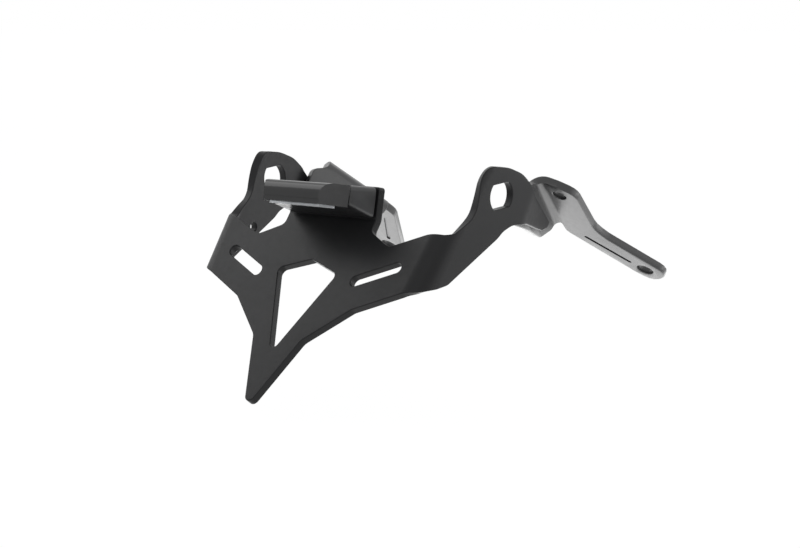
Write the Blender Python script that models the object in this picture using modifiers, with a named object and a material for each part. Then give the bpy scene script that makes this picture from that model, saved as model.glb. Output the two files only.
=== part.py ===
import math

import bmesh
import bpy
from mathutils import Matrix, Vector

MM = 0.001

# Sizes in millimetres
sheet = 4.0
edge_break = 0.45
gap = 0.3
lean_deg = 35.6

bend_x = 61.6
bend_z = -6.1
bend_splay_deg = 5.6
side_bend_deg = 84.6
side_bend_inner = 3.2
turn_bend_deg = 24.0
turn_bend_inner = 16.0
turn_at = (38.2, 38.4)
turn_lean_deg = 12.8

tab_half = 27.5
tab_bend_z = 2.6
tab_bend_deg = 25.6
tab_bend_inner = 3.0
tab_length = 14.4

slot_width = 5.5
slot_inner = (31.2, -28.7)
slot_outer = (51.3, -19.9)
indicator_dia = 14.6
indicator_flats = 11.9
indicator_at = (22.2, 39.2)
indicator_turn_deg = 39.4
clip_hole_dia = 4.4
clip_hole_at = (19.9, 9.9)

plate_under_z = 56.3
fold_inner = 3.4
front_hole_dia = 6.5
front_hole_at = (4.1, 8.2)
rear_hole_dia = 8.3
rear_hole_at = (65.4, 39.9)
groove_width = 2.0
groove_depth = 0.6
groove_from = (43.4, 13.4)
groove_short = (5.4, 7.0)
bracket_from = 52.4

screw_dia = 4.0
screw_clear = 0.3
screw_spots = ((-7.5, 39.6), (6.6, 41.9))
blind_depth = 2.9
head_dia = 7.4
head_height = 2.5
washer_dia = 9.0
washer_thick = 1.0

lamp_half = 26.8
lamp_rear_half = 16.5
lamp_top = 14.1
lamp_top_rear = 13.1
lamp_foot = -0.3
lamp_foot_rear = 3.0
base_depth = 17.7
hood_depth = 9.6
step_height = 2.2
step_depth = 0.35
lens_drop = 1.1
lens_thick = 2.4
shell_wall = 1.8
pad_thick = 0.8
seam = 0.5
lamp_screw_dia = 4.0
lamp_screw_in = 9.3
lamp_screw_z = 8.2
lamp_head_dia = 7.0
lamp_head_height = 2.3
lamp_washer_dia = 9.0
lamp_washer_thick = 0.8
inlet_dia = 8.0
grommet_bore = 4.2
board_thick = 1.6
board_z = 8.0
led_size = 3.0
led_height = 1.0
led_pitch = 9.0

round_steps = 24

lamp_screw_x = lamp_half - lamp_screw_in
groove_to = (rear_hole_at[0] - groove_short[0], rear_hole_at[1] - groove_short[1])

for o in list(bpy.data.objects):
    bpy.data.objects.remove(o, do_unlink=True)

parts = bpy.data.collections.new("tail_tidy")
bpy.context.scene.collection.children.link(parts)
tools = bpy.data.collections.new("cutters")
bpy.context.scene.collection.children.link(tools)


def material(name, colour, rough, metal=0.0, clear=0.0):
    m = bpy.data.materials.new(name)
    m.use_nodes = True
    b = m.node_tree.nodes["Principled BSDF"]
    b.inputs["Base Color"].default_value = (*colour, 1.0)
    b.inputs["Roughness"].default_value = rough
    b.inputs["Metallic"].default_value = metal
    b.inputs["Transmission Weight"].default_value = clear
    return m


# Outline helpers
def rounded(corners, steps=4):
    # corners are (x, y, radius); returns the points of the outline with its arcs
    out = []
    n = len(corners)
    for i in range(n):
        a = Vector(corners[i - 1][:2])
        b = Vector(corners[i][:2])
        c = Vector(corners[(i + 1) % n][:2])
        r = corners[i][2]
        u = (a - b).normalized()
        v = (c - b).normalized()
        ang = u.angle(v)
        if r <= 0 or ang > math.pi - 0.02:
            out.append(b)
            continue
        d = min(r / math.tan(ang / 2), (a - b).length * 0.49, (c - b).length * 0.49)
        r = d * math.tan(ang / 2)
        p, q = b + u * d, b + v * d
        centre = b + (u + v).normalized() * (r / math.sin(ang / 2))
        s, e = p - centre, q - centre
        sweep = s.angle(e)
        turn = 1 if s.x * e.y - s.y * e.x > 0 else -1
        k = max(2, min(steps * 2, round(sweep / math.radians(90) * steps)))
        for j in range(k + 1):
            t = turn * sweep * j / k
            out.append(centre + Vector((s.x * math.cos(t) - s.y * math.sin(t),
                                        s.x * math.sin(t) + s.y * math.cos(t))))
    return out


def circle(x, y, dia, steps=round_steps):
    return [Vector((x + dia / 2 * math.cos(2 * math.pi * i / steps),
                    y + dia / 2 * math.sin(2 * math.pi * i / steps))) for i in range(steps)]


def slot(a, b, width, steps=10):
    a, b = Vector(a), Vector(b)
    t = math.atan2(b.y - a.y, b.x - a.x)
    out = []
    for c, s in ((b, -math.pi / 2), (a, math.pi / 2)):
        for i in range(steps + 1):
            w = t + s + math.pi * i / steps
            out.append(c + Vector((math.cos(w), math.sin(w))) * width / 2)
    return out


def double_d(x, y, dia, flats, tilt, steps=9):
    half = math.asin(flats / dia)
    out = []
    for side in (0, math.pi):
        for i in range(steps + 1):
            w = side - half + 2 * half * i / steps
            v = Vector((math.cos(w), math.sin(w))) * dia / 2
            out.append(Vector((x + v.x * math.cos(tilt) - v.y * math.sin(tilt),
                               y + v.x * math.sin(tilt) + v.y * math.cos(tilt))))
    return out


def plate(name, loops, thick, edge, plane="XZ"):
    # a flat blank with its cut-outs and softened edges, from a filled 2D curve
    cu = bpy.data.curves.new(name, "CURVE")
    cu.dimensions = "2D"
    cu.fill_mode = "BOTH"
    cu.extrude = (thick / 2 - edge) * MM
    cu.bevel_depth = edge * MM
    cu.bevel_resolution = 0
    cu.offset = -edge * MM
    for loop in loops:
        sp = cu.splines.new("POLY")
        sp.points.add(len(loop) - 1)
        for i, p in enumerate(loop):
            sp.points[i].co = (p[0] * MM, p[1] * MM, 0, 1)
        sp.use_cyclic_u = True
    tmp = bpy.data.objects.new(name + "_curve", cu)
    bpy.context.scene.collection.objects.link(tmp)
    me = bpy.data.meshes.new_from_object(tmp.evaluated_get(bpy.context.evaluated_depsgraph_get()))
    bpy.data.objects.remove(tmp, do_unlink=True)
    bpy.data.curves.remove(cu)
    me.name = name
    if plane == "XZ":
        me.transform(Matrix.Rotation(math.radians(90), 4, "X"))
        me.transform(Matrix.Translation((0, thick / 2 * MM, 0)))
    else:
        me.transform(Matrix.Translation((0, 0, thick / 2 * MM)))
    bm = bmesh.new()
    bm.from_mesh(me)
    bmesh.ops.remove_doubles(bm, verts=bm.verts, dist=2e-6)
    bmesh.ops.recalc_face_normals(bm, faces=bm.faces)
    bm.to_mesh(me)
    bm.free()
    o = bpy.data.objects.new(name, me)
    parts.objects.link(o)
    return o


def fold(me, point, along, away, start, inner, angle_deg, thick, towards, steps=6, beyond=None):
    # bends the blank about a line in its own plane, at the length of its middle layer
    ang = math.radians(angle_deg)
    mid = (inner + thick / 2) * MM
    run = mid * ang
    point, along, away = Vector(point) * MM, Vector(along).normalized(), Vector(away).normalized()
    origin = point + away * start * MM
    bm = bmesh.new()
    bm.from_mesh(me)

    def chosen(co):
        return beyond is None or beyond(co)

    for i in range(steps + 1):
        faces = {f for v in bm.verts if chosen(v.co) for f in v.link_faces}
        geom = list({g for f in faces for g in list(f.verts) + list(f.edges)} | faces)
        bmesh.ops.bisect_plane(bm, geom=geom, dist=1e-7, plane_co=origin + away * run * i / steps,
                               plane_no=away)
    r_in = inner * MM
    for v in bm.verts:
        if not chosen(v.co):
            continue
        d = v.co - origin
        s, q = d.dot(away), d.dot(along)
        w = v.co.y
        if s <= 1e-9:
            continue
        a = min(s / mid, ang)
        rest = max(0.0, s - run)
        if towards > 0:
            r = r_in + thick * MM - w
            y = r_in + thick * MM - r * math.cos(a) + rest * math.sin(a)
        else:
            r = r_in + w
            y = -r_in + r * math.cos(a) - rest * math.sin(a)
        flat = origin + along * q + away * (r * math.sin(a) + rest * math.cos(a))
        v.co = Vector((flat.x, y, flat.z))
    bm.to_mesh(me)
    bm.free()


def finish(o, mat, parent=None):
    o.data.materials.clear()
    o.data.materials.append(mat)
    if parent:
        o.parent = parent
    return o


def cutter(name, parent=None):
    o = bpy.data.objects[name]
    for c in list(o.users_collection):
        c.objects.unlink(o)
    tools.objects.link(o)
    o.hide_render = True
    o.display_type = "WIRE"
    if parent:
        o.parent = parent
    return o


def boolean(o, tool, op="DIFFERENCE"):
    m = o.modifiers.new(op.lower(), "BOOLEAN")
    m.operation = op
    m.solver = "EXACT"
    m.object = tool
    return m


def prism(name, pts, lo, hi, axis="Y", steps=6):
    # an extruded outline; pts are (a, b, radius) corners in the plane across the axis
    ring = rounded(pts, steps) if len(pts[0]) == 3 else pts
    cu_thick = hi - lo
    o = plate(name, [ring], cu_thick, 0.0, "XY")
    if axis == "Y":
        o.data.transform(Matrix.Translation((0, 0, lo * MM)))
        o.data.transform(Matrix(((1, 0, 0, 0), (0, 0, 1, 0), (0, 1, 0, 0), (0, 0, 0, 1))))
    elif axis == "X":
        o.data.transform(Matrix.Translation((0, 0, lo * MM)))
        o.data.transform(Matrix(((0, 0, 1, 0), (1, 0, 0, 0), (0, 1, 0, 0), (0, 0, 0, 1))))
    else:
        o.data.transform(Matrix.Translation((0, 0, lo * MM)))
    bm = bmesh.new()
    bm.from_mesh(o.data)
    bmesh.ops.recalc_face_normals(bm, faces=bm.faces)
    bm.to_mesh(o.data)
    bm.free()
    return o


def turned(name, profile, steps=round_steps):
    # a closed turned solid; profile is (radius, height) from axis to axis
    me = bpy.data.meshes.new(name)
    bm = bmesh.new()
    area = sum(a[0] * b[1] - b[0] * a[1] for a, b in zip(profile, profile[1:] + profile[:1]))
    if area > 0:
        profile = profile[::-1]
    vs = [bm.verts.new((r * MM, 0, h * MM)) for r, h in profile]
    for i in range(len(vs) - 1):
        bm.edges.new((vs[i], vs[i + 1]))
    if min(p[0] for p in profile) > 0:
        bm.edges.new((vs[-1], vs[0]))
    bm.to_mesh(me)
    bm.free()
    o = bpy.data.objects.new(name, me)
    parts.objects.link(o)
    m = o.modifiers.new("turn", "SCREW")
    m.angle = math.tau
    m.screw_offset = 0
    m.axis = "Z"
    m.steps = steps
    m.render_steps = steps
    m.use_merge_vertices = True
    m.merge_threshold = 0.00001
    return o


# The stance: everything is drawn with the number plate upright and the mounting
# plates level, then leaned forward as it sits on the motorbike
stance = bpy.data.objects.new("stance", None)
parts.objects.link(stance)
lean = math.radians(lean_deg)
top_z = plate_under_z + sheet
stance.rotation_euler = (-lean, 0, 0)

coat = material("satin_black_coat", (0.017, 0.018, 0.02), 0.42, 0.3)
coat_fine = material("satin_black_bracket", (0.02, 0.021, 0.023), 0.4, 0.3)
steel = material("zinc_steel", (0.55, 0.56, 0.58), 0.32, 1.0)
gloss = material("gloss_black_plastic", (0.008, 0.008, 0.009), 0.16)
clear = material("clear_lens", (0.93, 0.95, 0.96), 0.08, 0.0, 0.6)
rubber = material("black_rubber", (0.02, 0.02, 0.02), 0.85)
board_mat = material("green_board", (0.02, 0.16, 0.06), 0.45)
led_mat = material("warm_led", (0.95, 0.86, 0.45), 0.3)

# Folded sheet: number plate panel, lamp tab and two side arms with turned-in ends
splay = math.radians(bend_splay_deg)
bend_along = Vector((math.sin(splay), 0, math.cos(splay)))
bend_away = Vector((math.cos(splay), 0, -math.sin(splay)))


def arm_pt(s, q, r=0.0):
    p = Vector((bend_x, 0, bend_z)) + bend_away * s + bend_along * q
    return (p.x, p.z, r)


panel_low = [(0, -99.5, 3.0), (15.2, -61.6, 6.0), (36.3, -43.2, 6.0)]
arm_loop = [(0.0, -24.9, 8.0), (17.6, -13.0, 14.0), (30.6, 19.5, 16.0), (33.6, 30.5, 10.0),
            (50.0, 41.6, 10.0), (70.6, 50.4, 3.0), (73.8, 57.4, 2.0), (57.0, 55.0, 0.0),
            (36.2, 52.9, 3.0), (29.5, 55.6, 9.0), (17.5, 52.4, 9.0), (9.4, 48.2, 6.0),
            (7.9, 40.8, 6.0),
            (13.7, 24.4, 8.0), (7.9, 8.4, 4.0), (4.2, 4.6, 4.0)]
panel_top = [(60.6, -1.0, 6.0), (41.6, -9.8, 5.0), (tab_half, -3.0, 3.5)]
tab_run = math.radians(tab_bend_deg) * (tab_bend_inner + sheet / 2)
tab_top = tab_bend_z + tab_run + tab_length
tab_corner = [(tab_half, tab_top, 1.6)]

right = panel_low + [arm_pt(*p) for p in arm_loop] + panel_top + tab_corner
outline = right + [(-x, z, r) for x, z, r in reversed(right[1:])]
kite = [(0, -20.2, 1.6), (-18.6, -26.3, 2.9), (0, -70.4, 2.5), (18.6, -26.3, 2.9)]


def mirrored(loop):
    return [Vector((-p[0], p[1])) for p in reversed(loop)]


slot_right = slot(slot_inner, slot_outer, slot_width)
ind_c = arm_pt(*indicator_at)
ind_right = double_d(ind_c[0], ind_c[1], indicator_dia, indicator_flats,
                     math.radians(indicator_turn_deg))
clip_c = arm_pt(*clip_hole_at)
tab_mid = tab_bend_z + tab_run
lamp_holes = [circle(sx * lamp_screw_x, tab_mid + lamp_screw_z, lamp_screw_dia + 2 * screw_clear)
              for sx in (-1, 1)]
lamp_holes.append(circle(0, tab_mid + lamp_screw_z, inlet_dia))
loops = [rounded(outline), rounded(kite), slot_right, mirrored(slot_right),
         ind_right, mirrored(ind_right), circle(-clip_c[0], clip_c[1], clip_hole_dia, 16)]
loops += lamp_holes
sheet_body = plate("plate_bracket", loops, sheet, edge_break)

turn = math.radians(turn_lean_deg)
for side in (1, -1):
    flip = Vector((side, 1, 1))
    p2 = arm_pt(*turn_at)
    t_along = bend_along * math.cos(turn) - bend_away * math.sin(turn)
    t_away = bend_away * math.cos(turn) + bend_along * math.sin(turn)
    half_run = math.radians(turn_bend_deg) * (turn_bend_inner + sheet / 2) / 2
    fold(sheet_body.data, (side * p2[0], 0, p2[1]), t_along * flip, t_away * flip, -half_run,
         turn_bend_inner, turn_bend_deg, sheet, 1, 4,
         lambda co, s=side: co.x * s > bend_x * MM)
    fold(sheet_body.data, (side * bend_x, 0, bend_z), bend_along * flip, bend_away * flip, 0,
         side_bend_inner, side_bend_deg, sheet, 1, 8,
         lambda co, s=side: co.x * s > 0.8 * bend_x * MM)
fold(sheet_body.data, (0, 0, tab_bend_z), (1, 0, 0), (0, 0, 1), 0,
     tab_bend_inner, tab_bend_deg, sheet, -1, 5,
     lambda co: abs(co.x) < (tab_half + 1) * MM)
finish(sheet_body, coat, stance)


def flange_frame():
    # outer face of the turned-in arm end, from the same bends as the sheet
    b1 = math.radians(side_bend_deg)
    outer = side_bend_inner + sheet
    tang = Vector((bend_x, 0, bend_z)) + bend_away * outer * math.sin(b1)
    tang.y += outer - outer * math.cos(b1)
    run = b1 * (side_bend_inner + sheet / 2)
    p_dir = bend_away * math.cos(b1) + Vector((0, math.sin(b1), 0))
    n_dir = bend_away * math.sin(b1) - Vector((0, math.cos(b1), 0))
    along = bend_along * math.cos(turn) - p_dir * math.sin(turn)
    away = p_dir * math.cos(turn) + bend_along * math.sin(turn)
    half = math.radians(turn_bend_deg) * (turn_bend_inner + sheet / 2) / 2
    start = tang + p_dir * (turn_at[0] - run) + bend_along * turn_at[1] - away * half
    b2 = math.radians(turn_bend_deg)
    ro = turn_bend_inner + sheet
    f_dir = away * math.cos(b2) - n_dir * math.sin(b2)
    fn = n_dir * math.cos(b2) + away * math.sin(b2)
    p = start + away * ro * math.sin(b2) - n_dir * (ro - ro * math.cos(b2))
    return p, f_dir, fn, along


fp, f_dir, f_norm, f_along = flange_frame()

# Mounting brackets: a foot inside each flange, folded out to a level plate
fore = Vector((-f_norm.y, f_norm.x, 0)).normalized()
rise = f_norm.cross(fore)
fold_deg = math.degrees(math.atan2(rise.z, -f_norm.z))
bend_low = -(fold_inner + f_norm.z * (sheet + fold_inner)) / rise.z
bend_run = math.radians(fold_deg) * (fold_inner + sheet / 2)
behind = 2 * sheet + gap
foot_x = fp.x - (behind + f_norm.y * (bracket_from - fp.y)
                 + f_norm.z * (plate_under_z - fp.z)) / f_norm.x
foot_at = Vector((foot_x, bracket_from, plate_under_z))


def out(d):
    # distance out from the foot, along the blank
    return bend_low + bend_run + d - fold_inner


foot_low = [(32.6, -4.0, 2.5), (31.7, -6.4, 5.0), (23.4, -14.9, 4.0), (8.8, -19.2, 9.0),
            (-4.4, -24.2, 5.0), (-13.8, -21.0, 5.0), (-14.3, -6.5, 4.0), (-7.3, -1.8, 5.0)]
rt, rd = rear_hole_at
plate_rim = [(-4.2, 8.6, 7.0), (0.2, 17.4, 8.0), (33.5, 19.9, 20.0), (40.5, 24.9, 12.0),
             (rt + 0.6, rd + 13.1, 8.3), (rt + 10.8, rd + 2.3, 7.5), (rt + 4.8, rd - 6.4, 6.0),
             (41.8, 2.9, 7.0), (33.9, 1.9, 1.5)]


def foot_frame(side):
    m = Matrix((-fore * side, f_norm, rise)).transposed()
    if side < 0:
        m = Matrix((Vector((fore.x * -side, fore.y, fore.z)),
                    Vector((-f_norm.x, f_norm.y, f_norm.z)),
                    Vector((-rise.x, rise.y, rise.z)))).transposed()
        m.col[0] = m.col[1].cross(m.col[2])
    return m


def bracket(name, side):
    rim = [(t, z, r) for t, z, r in foot_low] + [(t, out(d), r) for t, d, r in plate_rim]
    rim = [Vector((-side * p.x, p.y)) for p in rounded(rim)]
    cuts = [circle(-side * front_hole_at[0], out(front_hole_at[1]), front_hole_dia),
            circle(-side * rear_hole_at[0], out(rear_hole_at[1]), rear_hole_dia)]
    for t, z in screw_spots:
        cuts.append(circle(-side * t, z - plate_under_z, screw_dia + 2 * screw_clear, 16))
    o = plate(name, [rim] + cuts, sheet, edge_break)
    fold(o.data, (0, 0, bend_low), (1, 0, 0), (0, 0, 1), 0, fold_inner, fold_deg, sheet, 1, 7)
    finish(o, coat_fine, stance)
    at = Vector((side * foot_at.x, foot_at.y, foot_at.z))
    o.matrix_parent_inverse.identity()
    rot = foot_frame(side)
    o.location = at * MM
    o.rotation_euler = rot.to_euler()
    return o, at, rot


def in_plate(side, t, d, z):
    # a point on the mounting plate: along the fold, out from the foot, height
    flat = Vector((f_norm.x, f_norm.y, 0)).normalized()
    p = foot_at + f_norm * sheet
    p = Vector((p.x, p.y, 0)) + fore * t + flat * d
    return Vector((side * p.x, p.y, z))


def aimed(o, at, direction, mat):
    # stands a turned piece with its own +Z along a direction
    o.location = at * MM
    o.rotation_euler = Vector(direction).to_track_quat("Z", "Y").to_euler()
    return finish(o, mat, stance)


def screw(name, dia, length, h_dia, h_high, at, direction, mat=steel):
    # pan head with a hex socket; the shank points along the direction
    socket = h_dia * 0.27
    o = turned(name, [(0, length), (dia / 2 - 0.4, length), (dia / 2, length - 0.5), (dia / 2, 0),
                      (h_dia / 2, 0), (h_dia / 2, -h_high * 0.45), (h_dia * 0.43, -h_high * 0.8),
                      (h_dia * 0.34, -h_high), (0, -h_high)], 20)
    hexa = turned(name + "_socket", [(0, -h_high * 0.35), (socket, -h_high * 0.35),
                                     (socket, -h_high * 1.4), (0, -h_high * 1.4)], 6)
    aimed(o, at, direction, mat)
    aimed(hexa, at, direction, mat)
    cutter(name + "_socket")
    boolean(o, hexa)
    return o


def washer(name, inner_d, outer_d, thick, at, direction, mat=steel):
    o = turned(name, [(inner_d / 2, 0), (outer_d / 2 - 0.2, 0), (outer_d / 2, 0.2),
                      (outer_d / 2, thick - 0.2), (outer_d / 2 - 0.2, thick), (inner_d / 2, thick)],
               20)
    return aimed(o, at, direction, mat)


# the shared origin lies midway between the front holes, on top of the plates
ref = in_plate(1, *front_hole_at, top_z)
stance.location = Matrix.Rotation(-lean, 3, "X") @ Vector((0, -ref.y, -ref.z)) * MM

for word, side in (("right", 1), ("left", -1)):
    body, at, rot = bracket("mount_bracket_" + word, side)
    groove = plate("groove_" + word, [slot(groove_from, groove_to, groove_width, 4)],
                   2 * groove_depth, 0.0, "XY")
    gm = groove.data
    gm.transform(Matrix.Translation((0, 0, -groove_depth * MM)))
    flat = Vector((f_norm.x, f_norm.y, 0)).normalized()
    base = foot_at + f_norm * sheet
    place = Matrix(((side * fore.x, side * flat.x, 0, side * base.x * MM),
                    (fore.y, flat.y, 0, base.y * MM),
                    (0, 0, 1, plate_under_z * MM), (0, 0, 0, 1)))
    gm.transform(place)
    bm = bmesh.new()
    bm.from_mesh(gm)
    bmesh.ops.recalc_face_normals(bm, faces=bm.faces)
    bm.to_mesh(gm)
    bm.free()
    cutter("groove_" + word, stance)
    boolean(body, groove)
    for k, (t, z) in enumerate(screw_spots):
        # the screw goes from inside, through the foot, into a blind hole of the flange
        spot = at + rot @ Vector((-side * t, 0, z - plate_under_z))
        drive = rot @ Vector((0, 1, 0))
        reach = washer_thick + 3 * 0.05 + sheet + gap + blind_depth - 0.5
        tag = word + "_" + ("rear", "front")[k]
        washer("foot_washer_" + tag, screw_dia + 2 * screw_clear, washer_dia, washer_thick,
               spot - drive * (washer_thick + 0.1), drive)
        screw("foot_screw_" + tag, screw_dia, reach, head_dia, head_height,
              spot - drive * (washer_thick + 0.2), drive)
        bore = turned("flange_bore_" + tag,
                      [(0, 0), (screw_dia / 2 + screw_clear, 0),
                       (screw_dia / 2 + screw_clear, gap + 0.5 + blind_depth),
                       (0, gap + 0.5 + blind_depth)], 16)
        aimed(bore, spot + drive * (sheet - 0.5), drive, steel)
        cutter("flange_bore_" + tag)
        boolean(sheet_body, bore)

# Number plate lamp on the tab: base block, tapered hood, clear strip, board and lights
tab_a = math.radians(tab_bend_deg)
tab_r = tab_bend_inner
tab_up = Vector((0, -math.sin(tab_a), math.cos(tab_a)))
tab_out = Vector((0, -math.cos(tab_a), -math.sin(tab_a)))
tab_at = Vector((0, -tab_r + tab_r * math.cos(tab_a), tab_bend_z + tab_r * math.sin(tab_a)))
lamp = bpy.data.objects.new("lamp_frame", None)
parts.objects.link(lamp)
lamp.parent = stance
lamp.location = tab_at * MM
lamp.rotation_euler = (math.pi / 2 + tab_a, 0, 0)
# inside the lamp frame: X across, Y up the tab, Z rearward out of its rear face


def lamp_box(name, x0, x1, y0, y1, z0, z1, r=0.0, steps=4):
    o = prism(name, [(x0, y0, r), (x1, y0, r), (x1, y1, r), (x0, y1, r)], z0, z1, "Z", steps)
    o.parent = lamp
    return o


def slab(name, sections, steps):
    # joins rounded oblong sections (half width, low, high, radius, depth) into one solid
    me = bpy.data.meshes.new(name)
    bm = bmesh.new()
    rings = []
    for hw, lo, hi, r, z in sections:
        ring = rounded([(-hw, lo, r), (hw, lo, r), (hw, hi, r), (-hw, hi, r)], steps)
        rings.append([bm.verts.new((p.x * MM, p.y * MM, z * MM)) for p in ring])
    n = len(rings[0])
    for a, b in zip(rings, rings[1:]):
        for i in range(n):
            bm.faces.new((a[i], a[(i + 1) % n], b[(i + 1) % n], b[i]))
    bm.faces.new(rings[0][::-1])
    bm.faces.new(rings[-1])
    bmesh.ops.recalc_face_normals(bm, faces=bm.faces)
    bm.to_mesh(me)
    bm.free()
    o = bpy.data.objects.new(name, me)
    parts.objects.link(o)
    o.parent = lamp
    return o


z0 = pad_thick + 2 * 0.1
z1 = z0 + base_depth
z2 = z1 + seam
z3 = z2 + hood_depth
wall = shell_wall
mid_y = lamp_screw_z

pad = plate("lamp_pad", [rounded([(-lamp_half + 1, lamp_foot + 1, 2.2), (lamp_half - 1, lamp_foot + 1, 2.2),
                                  (lamp_half - 1, lamp_top - 0.5, 2.2), (-lamp_half + 1, lamp_top - 0.5, 2.2)]),
                         circle(-lamp_screw_x, mid_y, lamp_screw_dia + 2 * screw_clear),
                         circle(lamp_screw_x, mid_y, lamp_screw_dia + 2 * screw_clear),
                         circle(0, mid_y, inlet_dia)], pad_thick, 0.15, "XY")
pad.location = (0, 0, 0.1 * MM)
finish(pad, rubber, lamp)

base = slab("lamp_base", [(lamp_half - 0.4, lamp_foot + 0.4, lamp_top - 0.4, 1.6, z0),
                          (lamp_half, lamp_foot, lamp_top, 2.0, z0 + 0.5),
                          (lamp_half, lamp_foot_rear, lamp_top_rear, 2.4, z1 - 0.3),
                          (lamp_half - 0.3, lamp_foot_rear + 0.3, lamp_top_rear - 0.3, 2.1, z1)], 3)
base_hollow = slab("base_hollow", [(lamp_half - wall, lamp_foot + wall + 0.4, lamp_top - wall, 1.2, z0 + wall),
                                   (lamp_half - wall, lamp_foot_rear + wall, lamp_top_rear - wall, 1.2,
                                    z1 + 1)], 3)
boss_len = 7.0
for k, sx in enumerate((-1, 1)):
    keep = lamp_box("boss_room_" + "ab"[k], sx * (lamp_screw_x - 4.0), sx * (lamp_half + 2), -2, lamp_top + 2,
                    z0 - 1, z0 + boss_len)
    cutter("boss_room_" + "ab"[k])
    boolean(base_hollow, keep)
for k, sx in enumerate((-1, 1)):
    ledge = lamp_box("ledge_room_" + "ab"[k], sx * (lamp_half - 5.2), sx * (lamp_half + 2), -2,
                     board_z - 0.1, z0 + boss_len - 0.5, z1 - 2.5)
    cutter("ledge_room_" + "ab"[k])
    boolean(base_hollow, ledge)
cutter("base_hollow")
boolean(base, base_hollow)
for k, sx in enumerate((-1, 1)):
    pilot = turned("lamp_pilot_" + "ab"[k], [(0, -1), (lamp_screw_dia / 2 + 0.2, -1),
                                            (lamp_screw_dia / 2 + 0.2, boss_len - 1.2), (0, boss_len - 1.2)], 16)
    pilot.parent = lamp
    pilot.location = (sx * lamp_screw_x * MM, mid_y * MM, z0 * MM)
    cutter("lamp_pilot_" + "ab"[k])
    boolean(base, pilot)
inlet = turned("inlet_bore", [(0, -1), (inlet_dia / 2, -1), (inlet_dia / 2, wall + 2), (0, wall + 2)], 20)
inlet.parent = lamp
inlet.location = (0, mid_y * MM, z0 * MM)
cutter("inlet_bore")
boolean(base, inlet)
finish(base, gloss, lamp)


def loft(name, profile, stations, deep):
    # a side profile (share of the depth, height) carried across the lamp; each station
    # (x, share) draws the profile in towards the seam, which tapers the plan
    me = bpy.data.meshes.new(name)
    bm = bmesh.new()
    rings = [[bm.verts.new((x * MM, h * MM, (z2 + f * deep * k) * MM)) for f, h in profile]
             for x, k in stations]
    n = len(profile)
    for a, b in zip(rings, rings[1:]):
        for i in range(n):
            bm.faces.new((a[i], a[(i + 1) % n], b[(i + 1) % n], b[i]))
    bm.faces.new(rings[0][::-1])
    bm.faces.new(rings[-1])
    bmesh.ops.recalc_face_normals(bm, faces=bm.faces)
    bm.to_mesh(me)
    bm.free()
    o = bpy.data.objects.new(name, me)
    parts.objects.link(o)
    o.parent = lamp
    return o


def hood_profile(inset, start):
    lo, hi = lamp_foot_rear + inset, lamp_top_rear - inset
    full = hi - lo
    step = step_depth / hood_depth if inset == 0 else 0.0
    up = lo + step_height
    crown = [(1.0 - step, lo + 0.3), (1.0 - step, up), (1.0, up + 0.3)] if inset == 0 else [(1.0, lo)]
    for deg in range(0, 91, 15):
        t = math.radians(deg)
        crown.append((0.55 + 0.45 * math.cos(t), hi - full * 0.58 * (1 - math.sin(t))))
    return [(start, lo), (1.0 - step - 0.03, lo)] + crown + [(start, hi)]


hood = loft("lamp_hood", hood_profile(0, 0.0),
            [(-lamp_half, 0.06), (-lamp_rear_half - 0.6, 0.94), (-lamp_rear_half + 0.4, 1.0),
             (lamp_rear_half - 0.4, 1.0), (lamp_rear_half + 0.6, 0.94), (lamp_half, 0.06)], hood_depth)
hood_hollow = loft("hood_hollow", hood_profile(wall, -0.1),
                   [(-lamp_half + wall + 1.0, 0.1), (-lamp_rear_half, 0.97),
                    (lamp_rear_half, 0.97), (lamp_half - wall - 1.0, 0.1)], hood_depth - wall)
cutter("hood_hollow")
boolean(hood, hood_hollow)

# clear strip under the hood, standing a little proud of it
lens_plan = [(-lamp_half + 5.0, z2 + 1.4), (-lamp_rear_half + 1.2, z3 - wall - 0.2),
             (lamp_rear_half - 1.2, z3 - wall - 0.2), (lamp_half - 5.0, z2 + 1.4)]
lens = prism("lamp_lens", [(x, z, 0.9) for x, z in lens_plan], lamp_foot_rear - lens_drop,
             lamp_foot_rear - lens_drop + lens_thick, "Y", 2)
lens.parent = lamp
mid_lens = Vector((0, (z2 + z3) / 2 - 0.4))
lens_slot = prism("lens_slot", [(x + math.copysign(2.2 * gap, x), z + math.copysign(gap, z - mid_lens.y), 0.9)
                                for x, z in lens_plan], lamp_foot_rear - 3, lamp_foot_rear + wall + 1,
                  "Y", 2)
lens_slot.parent = lamp
cutter("lens_slot")
boolean(hood, lens_slot)
finish(hood, gloss, lamp)
finish(lens, clear, lamp)

# circuit board on two ledges, a narrower tongue over the clear strip
board_half = lamp_half - wall - gap
tongue = 14.5
zb = z0 + boss_len + 0.8
board = prism("lamp_board", [(-board_half, zb, 1), (board_half, zb, 1), (board_half, z1 - 1.5, 1),
                             (tongue, z1 - 1.5, 0.8), (tongue, z2 + 5.6, 1), (-tongue, z2 + 5.6, 1),
                             (-tongue, z1 - 1.5, 0.8), (-board_half, z1 - 1.5, 1)],
              board_z, board_z + board_thick, "Y", 2)
finish(board, board_mat, lamp)
for i in range(3):
    x = (i - 1) * led_pitch
    led = slab("lamp_led_" + "abc"[i], [(led_size / 2, -led_size / 2, led_size / 2, 0.5, 0),
                                        (led_size / 2, -led_size / 2, led_size / 2, 0.5, led_height * 0.6),
                                        (led_size * 0.36, -led_size * 0.36, led_size * 0.36, 0.8, led_height)], 2)
    led.rotation_euler = (math.pi / 2, 0, 0)
    led.location = (x * MM, (board_z - 0.05) * MM, (z2 + 4.0) * MM)
    finish(led, led_mat, lamp)

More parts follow.
